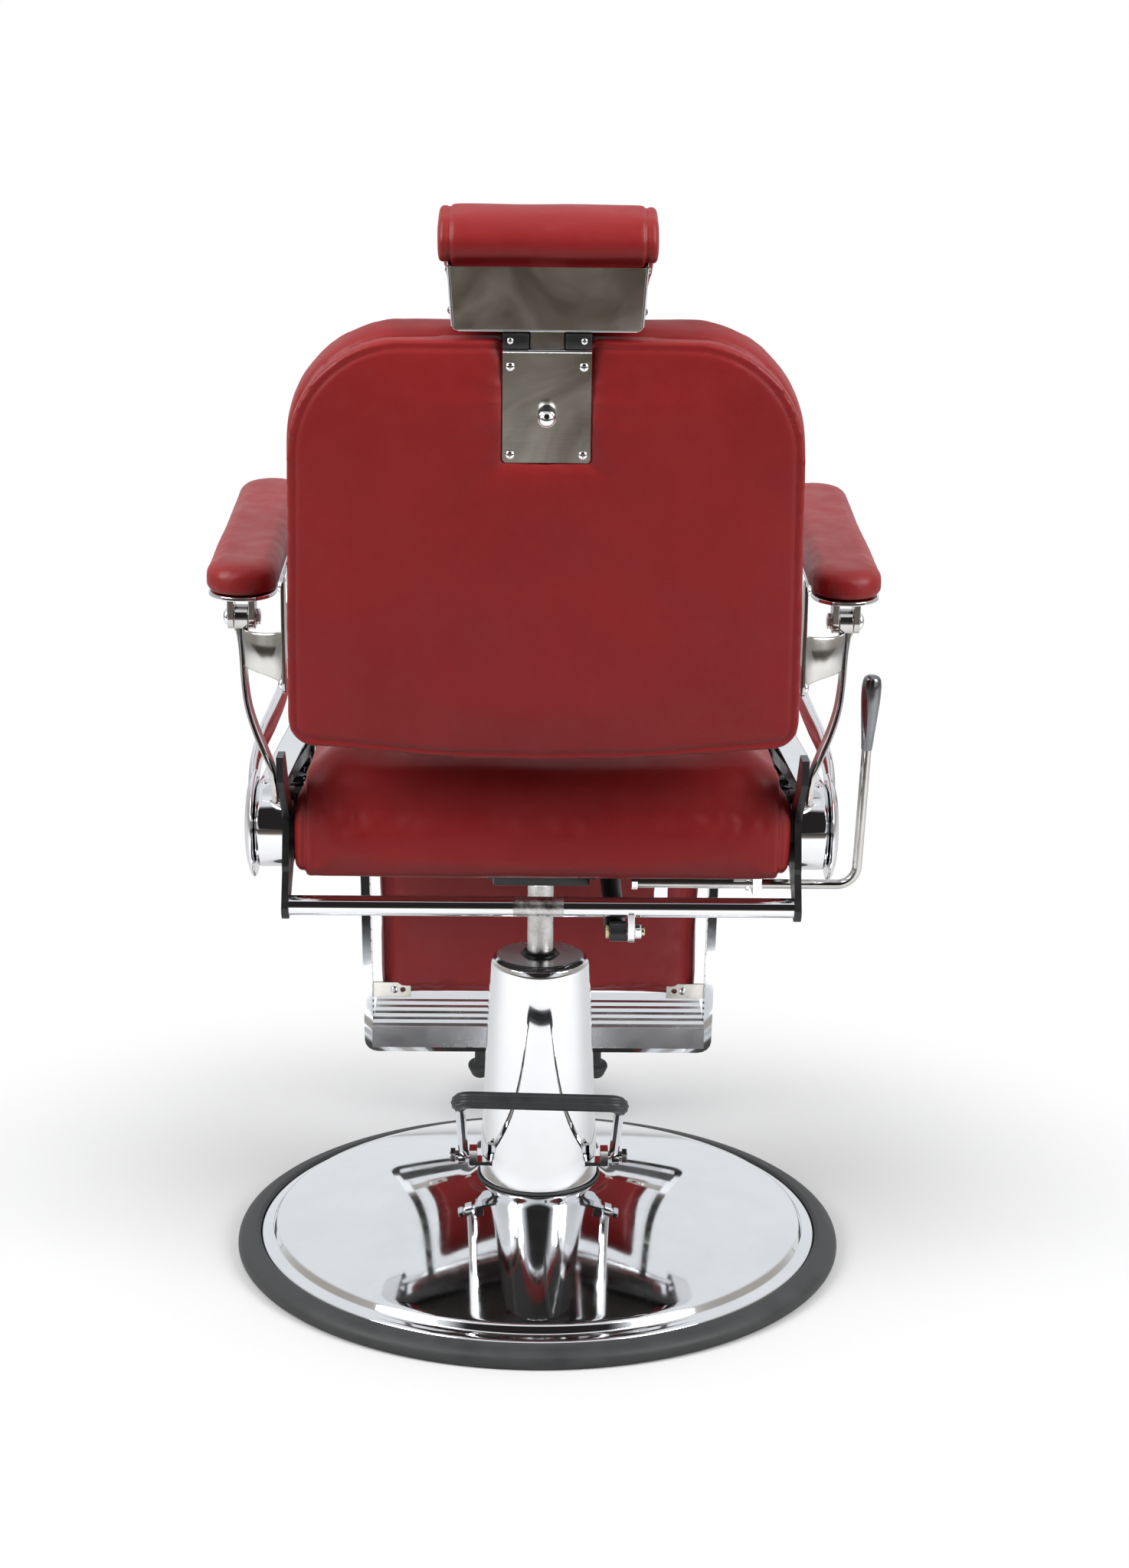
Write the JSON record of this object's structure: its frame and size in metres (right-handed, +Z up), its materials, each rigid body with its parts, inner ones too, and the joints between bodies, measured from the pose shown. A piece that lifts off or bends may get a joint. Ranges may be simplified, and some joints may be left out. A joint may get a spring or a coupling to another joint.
{
  "type": "barber chair",
  "caption": "Hydraulic barber chair with chrome disc base, foot pump, reclining back, padded armrests, sliding headrest and a linked footrest.",
  "frame": {"origin": "centre of the round base's underside, on the floor", "axes": "+Z up; the sitter faces -Y; +X is the sitter's left"},
  "size_m": [0.7162, 0.8616, 1.2065],
  "materials": {
    "leather_back": "red upholstery leather, satin",
    "chrome": "polished chrome plate",
    "steel_plate": "scuffed stainless steel",
    "black_steel": "black paint",
    "rubber_black": "moulded black rubber",
    "tread_aluminium": "ribbed extrusion",
    "plywood": "seat board",
    "zinc_bolt": "yellow zinc"
  },
  "bodies": {
    "base": {"rubber_ring": "rubber_black", "base_dish": "chrome", "base_plate": "black_steel", "pump_body": "black_steel", "pump_cover": "chrome", "cover_gasket": "rubber_black", "ram_wiper": "rubber_black", "pedal_yoke": "chrome"},
    "pedal": {"pedal_bail": "chrome", "pedal_sleeve": "rubber_black"},
    "lift": {"lift_piston": "steel_plate"},
    "seat": {"ram": "chrome", "ram_hub": "black_steel", "mount_plate": "black_steel", "frame_beam": "black_steel", "frame_cross_front": "black_steel", "frame_cross_rear": "black_steel", "seat_board": "plywood", "seat_cushion": "leather_back", "side_box_left": "chrome", "side_box_right": "chrome", "lever_bracket": "black_steel", "lock_bracket": "black_steel"},
    "back": {"crossbar": "chrome", "lock_bolt": "zinc_bolt", "side_plate_left": "black_steel", "side_plate_right": "black_steel", "swept_arm_left": "chrome", "swept_arm_right": "chrome", "rear_bracket_left": "chrome", "rear_bracket_right": "chrome", "arm_plate_left": "chrome", "arm_plate_right": "chrome", "arm_pad_left": "leather_back", "arm_pad_right": "leather_back", "arm_bolt_left": "chrome", "arm_bolt_right": "chrome", "back_panel": "leather_back", "back_cushion": "leather_back", "headrest_guide": "black_steel", "headrest_plate": "steel_plate"},
    "headrest": {"headrest_post": "steel_plate", "headrest_channel": "steel_plate", "headrest_cushion": "leather_back"},
    "release_knob": {"release_knob": "chrome"},
    "lever": {"recline_lever": "chrome", "lever_grip": "chrome"},
    "lock_cylinder": {"lock_cylinder": "black_steel"},
    "lock_rod": {"lock_rod": "chrome"},
    "footrest": {"footrest_shaft": "chrome", "footrest_frame": "chrome", "footrest_pad": "leather_back", "footrest_tread": "tread_aluminium", "pad_bracket_left": "steel_plate", "pad_bracket_right": "steel_plate", "bumper_left": "rubber_black", "bumper_right": "rubber_black"},
    "links": {"link_left": "black_steel", "link_right": "black_steel"}
  },
  "joints": [
    {"name": "pedal_pump", "type": "hinge", "parent": "base", "child": "pedal", "pos_m": [0, 0.03, 0.115], "axis": [-1, 0, 0], "range_deg": [0, 26], "stiffness_Nm_per_rad": 6, "springref_deg": -20.05},
    {"name": "lift_slide", "type": "slide", "parent": "base", "child": "lift", "axis": [0, 0, 1], "range_m": [-0.04, 0.12]},
    {"name": "seat_swivel", "type": "hinge", "parent": "lift", "child": "seat", "pos_m": [0, 0, 0.3], "axis": [0, 0, 1], "continuous": true},
    {"name": "recline", "type": "hinge", "parent": "seat", "child": "back", "pos_m": [0, 0.165, 0.547], "axis": [-1, 0, 0], "range_deg": [0, 45]},
    {"name": "footrest_tilt", "type": "hinge", "parent": "seat", "child": "footrest", "pos_m": [0, -0.245, 0.4975], "axis": [-1, 0, 0], "range_deg": [0, 45]},
    {"name": "link_swing", "type": "hinge", "parent": "back", "child": "links", "pos_m": [0, 0.1541, 0.5771], "axis": [-1, 0, 0], "range_deg": [-45, 0]},
    {"name": "lock_swing", "type": "hinge", "parent": "back", "child": "lock_cylinder", "pos_m": [-0.0775, 0.24, 0.452], "axis": [-1, 0, 0], "range_deg": [-39.59, 0]},
    {"name": "lock_slide", "type": "slide", "parent": "lock_cylinder", "child": "lock_rod", "axis": [0, 1, -0.0073], "range_m": [0, 0.0863]},
    {"name": "recline_lever", "type": "hinge", "parent": "seat", "child": "lever", "pos_m": [0, 0.1, 0.464], "axis": [-1, 0, 0], "range_deg": [0, 18], "stiffness_Nm_per_rad": 4, "springref_deg": -20.05},
    {"name": "headrest_slide", "type": "slide", "parent": "back", "child": "headrest", "axis": [0, 0.1625, 0.9867], "range_m": [0, 0.1]},
    {"name": "knob_pull", "type": "slide", "parent": "back", "child": "release_knob", "axis": [0, 0.9867, -0.1625], "range_m": [0, 0.006], "stiffness_N_per_m": 1200, "springref_m": -0.004}
  ],
  "couplings": [
    {"joint": "footrest_tilt", "follows": "recline", "ratio": 1},
    {"joint": "link_swing", "follows": "recline", "ratio": -1},
    {"joint": "lock_swing", "follows": "recline", "ratio": -0.8795},
    {"joint": "lock_slide", "follows": "recline", "m_per_rad": 0.1097}
  ]
}
